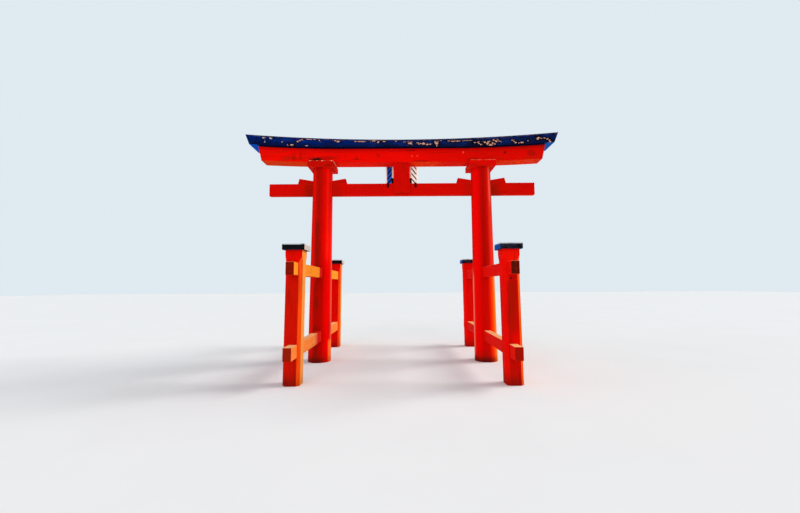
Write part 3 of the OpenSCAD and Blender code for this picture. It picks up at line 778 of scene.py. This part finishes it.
def soften(o, width):
    soft = o.modifiers.new("arris", "BEVEL")
    soft.width, soft.segments = width, 2
    soft.limit_method, soft.angle_limit = "ANGLE", math.radians(30)


for n, o in nodes.items():
    o.modifiers.new("weld", "WELD").merge_threshold = WELD_GAP
    soften(o, FINE_ARRIS if n.startswith(("plaque", "strut_shoes")) else TIMBER_ARRIS)


# ---------------------------------------------------------------- added pieces
def piece(name, bm, mat, arris=0.0):
    """A new piece of the gate, finished and riding on its one body."""
    bmesh.ops.recalc_face_normals(bm, faces=bm.faces)
    mesh = bpy.data.meshes.new(name)
    bm.to_mesh(mesh)
    bm.free()
    o = bpy.data.objects.new(name, mesh)
    scene.collection.objects.link(o)
    mesh.materials.append(mat)
    if arris:
        soften(o, arris)
    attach(o, "root")


def bridge(bm, a, b):
    """Faces between two rows of points that each go round."""
    for i in range(len(a)):
        j = (i + 1) % len(a)
        bm.faces.new((a[i], a[j], b[j], b[i]))


def sweep(bm, rings):
    """Closed bar through a list of rings with the same number of points."""
    rows = [[bm.verts.new(p) for p in ring] for ring in rings]
    for a, b in zip(rows, rows[1:]):
        bridge(bm, a, b)
    bm.faces.new(rows[0])
    bm.faces.new(rows[-1][::-1])


def edge_z(x):
    """Height of the upper lintel's top edge, straight between its stations."""
    k = math.floor(x / STATION)
    a, b = (EDGE_Z + EDGE_RISE * (i * STATION / EDGE_HALF) ** 2 for i in (k, k + 1))
    return a + (b - a) * (x / STATION - k)


def top_z(x, y):
    """Height of the upper lintel's pitched top."""
    return edge_z(x) + RIDGE_H * (1 - abs(y) / EDGE_Y)


def end_x(side, y):
    """Where the slanting end of the upper lintel meets its top at depth y."""
    x = EDGE_HALF
    for _ in range(3):
        x = EDGE_HALF + END_RUN * (top_z(x, y) - EDGE_Z - EDGE_RISE)
    return side * x


def stations(x0, x1):
    """Both ends of a board, and the lintel's stations between them."""
    k0, k1 = math.floor(x0 / STATION) + 1, math.ceil(x1 / STATION) - 1
    inner = [k * STATION for k in range(k0, k1 + 1)]
    return [x0] + [x for x in inner if x0 + 0.02 < x < x1 - 0.02] + [x1]


def boards(bm, y0, y1, joints, sink, profile):
    """Boards end to end along the top, between the depths y0 and y1, with open joints."""
    half_gap = 0.003
    cuts = [None] + joints + [None]
    for a, b in zip(cuts, cuts[1:]):
        x0 = end_x(-1, y0) if a is None else a + half_gap
        x1 = end_x(1, y0) if b is None else b - half_gap
        rings = []
        for x in stations(x0, x1):
            ring = []
            for t, h in profile:
                y = y0 + (y1 - y0) * t
                at = x
                if a is None and x == x0:
                    at = end_x(-1, y)
                if b is None and x == x1:
                    at = end_x(1, y)
                ring.append((at, y, top_z(at, y) - sink + h))
            rings.append(ring)
        sweep(bm, rings)


# three rows of boards on each slope, from the edge up
ROW_PITCH, ROW_WIDTH, ROW_OVERHANG = 0.187, 0.182, 0.006
ROW_SHIFTS = (0.9, -0.5, 0.3)
ROW_JOINTS = (-4.9, -1.7, 1.5, 4.7)
FLAT = [(0, 0), (1, 0), (1, 0.0125), (0, 0.0125)]
bm = bmesh.new()
for side in (-1, 1):
    for k, shift in enumerate(ROW_SHIFTS):
        outer = EDGE_Y + ROW_OVERHANG - ROW_PITCH * k
        joints = [x + shift * side for x in ROW_JOINTS]
        boards(bm, side * outer, side * (outer - ROW_WIDTH), joints, 0.0015, FLAT)
piece("roof_boards", bm, lintel_navy, 0.003)

CROWN = [(0, 0.010), (1, 0.010), (1, 0.026), (0.72, 0.034), (0.28, 0.034), (0, 0.026)]
RIDGE_HALF = 0.088
bm = bmesh.new()
boards(bm, -RIDGE_HALF, RIDGE_HALF, [-2.6, 2.6], 0.0, CROWN)
piece("ridge_board", bm, lintel_navy, 0.004)

# bare face of the plaque with its moulding, on the lake side
FIELD_HALF = 0.36
FIELD_Z0, FIELD_Z1 = PANEL_FOOT_Z + 0.10, PANEL_FOOT_Z + 1.50
CORNERS = [(-FIELD_HALF, FIELD_Z0), (FIELD_HALF, FIELD_Z0), (FIELD_HALF, FIELD_Z1), (-FIELD_HALF, FIELD_Z1)]
# distance in from the corners and height above the panel
MOULDING = [(0.0, -0.002), (0.0, 0.022), (0.012, 0.030), (0.026, 0.030), (0.034, 0.020), (0.044, 0.018),
            (0.052, 0.010), (0.052, -0.002)]
FIELD = [(0.080, -0.002), (0.080, 0.006), (0.100, 0.014), (0.112, 0.014)]


def inset(d, up):
    """The field's four corners moved in by d and lifted off the panel by up."""
    middle = (FIELD_Z0 + FIELD_Z1) / 2
    y = PANEL_FACE_Y + up
    return [(x - math.copysign(d, x), y, z - math.copysign(d, z - middle)) for x, z in CORNERS]


bm = bmesh.new()
loops = [[bm.verts.new(p) for p in inset(d, up)] for d, up in MOULDING]
for a, b in zip(loops, loops[1:] + loops[:1]):
    bridge(bm, a, b)
piece("plaque_moulding", bm, pale, 0.0015)

bm = bmesh.new()
sweep(bm, [inset(d, up) for d, up in FIELD])
piece("plaque_field", bm, lacquer("plaque_lacquer", 520), 0.0015)

# battens where the side boards of the plaque meet the panel
BATTEN_PLAN = [(0.428, 0.305), (0.512, 0.305), (0.512, 0.459), (0.428, 0.384)]
BATTEN_Z = (TIE_TOP_Z + 0.02, TIE_TOP_Z + 0.40, TIE_TOP_Z + 0.80, LINTEL_UNDER_Z - 0.012)
bm = bmesh.new()
for side in (-1, 1):
    sweep(bm, [[(side * x, y, z) for x, y in BATTEN_PLAN] for z in BATTEN_Z])
piece("plaque_battens", bm, pale, 0.004)

# domed nail heads on the straps and shoes: height above the face and radius of each ring
NAIL_DOME = ((-0.002, 0.016), (0.004, 0.016), (0.009, 0.011), (0.011, 0.004))
NAIL_SIDES = 12
SHOE_X, SHOE_Y = STRUT_HALF + 0.0525, -0.095   # middle of a shoe's front face


def nail_ring(x, y, z, r):
    turns = [2 * math.pi * i / NAIL_SIDES for i in range(NAIL_SIDES)]
    return [(x + r * math.cos(t), y, z + r * math.sin(t)) for t in turns]


bm = bmesh.new()
for side in (-1, 1):
    heads = [(side * STRAP_X, STRAP_Y, TIE_TOP_Z - d) for d in (0.06, 0.165)]
    heads += [(side * SHOE_X, SHOE_Y, TIE_TOP_Z + d) for d in (0.07, 0.22)]
    for x, y, z in heads:
        sweep(bm, [nail_ring(x, y - up, z, r) for up, r in NAIL_DOME])
piece("strap_nails", bm, dark_iron)

# ---------------------------------------------------------------- stage
FLOOR_HALF = 180
mesh = bpy.data.meshes.new("floor")
bm = bmesh.new()
bmesh.ops.create_grid(bm, x_segments=1, y_segments=1, size=FLOOR_HALF)
bm.to_mesh(mesh)
bm.free()
floor = bpy.data.objects.new("floor", mesh)
scene.collection.objects.link(floor)
g = Net("floor_paint", 700)
pale_grey = g.mix(g.noise((3.0, 3.0, 3.0), 2), (0.74, 0.75, 0.76), (0.78, 0.79, 0.80))
mesh.materials.append(g.done(pale_grey, 0.9, spec=0.02))


def add_world(light, strength, shown):
    """A studio sky: light on the gate, and the shown colour behind it and in what it mirrors."""
    world = bpy.data.worlds.new("studio")
    scene.world = world
    world.use_nodes = True
    make, link = world.node_tree.nodes.new, world.node_tree.links.new
    sky = world.node_tree.nodes["Background"]
    seen = make("ShaderNodeBackground")
    for background, colour, power in ((sky, light, strength), (seen, shown, 1.0)):
        background.inputs[0].default_value = (*colour, 1.0)
        background.inputs[1].default_value = power
    path = make("ShaderNodeLightPath")
    pick = make("ShaderNodeMixShader")
    most = make("ShaderNodeMath")
    most.operation = "MAXIMUM"
    link(path.outputs["Is Camera Ray"], most.inputs[0])
    link(path.outputs["Is Glossy Ray"], most.inputs[1])
    link(most.outputs[0], pick.inputs[0])
    link(sky.outputs[0], pick.inputs[1])
    link(seen.outputs[0], pick.inputs[2])
    link(pick.outputs[0], world.node_tree.nodes["World Output"].inputs[0])


def add_lamp(name, towards, strength, spread, colour=(1.0, 1.0, 1.0)):
    """A soft distant lamp in the given direction, spread degrees wide."""
    light = bpy.data.lights.new(name, "SUN")
    light.energy, light.angle, light.color = strength, math.radians(spread), colour
    o = bpy.data.objects.new(name, light)
    scene.collection.objects.link(o)
    o.rotation_euler = Vector(towards).to_track_quat("Z", "Y").to_euler()


add_world((0.90, 0.95, 1.0), 0.50, (0.74, 0.82, 0.88))
add_lamp("key", (0.847, 0.180, 0.500), 2.9, 30, (1.0, 0.97, 0.92))
add_lamp("fill_front", (-0.15, -0.90, 0.35), 1.1, 60)
add_lamp("fill_left", (-0.95, -0.10, 0.25), 0.8, 40, (0.94, 0.97, 1.0))
scene.view_settings.view_transform = "Standard"
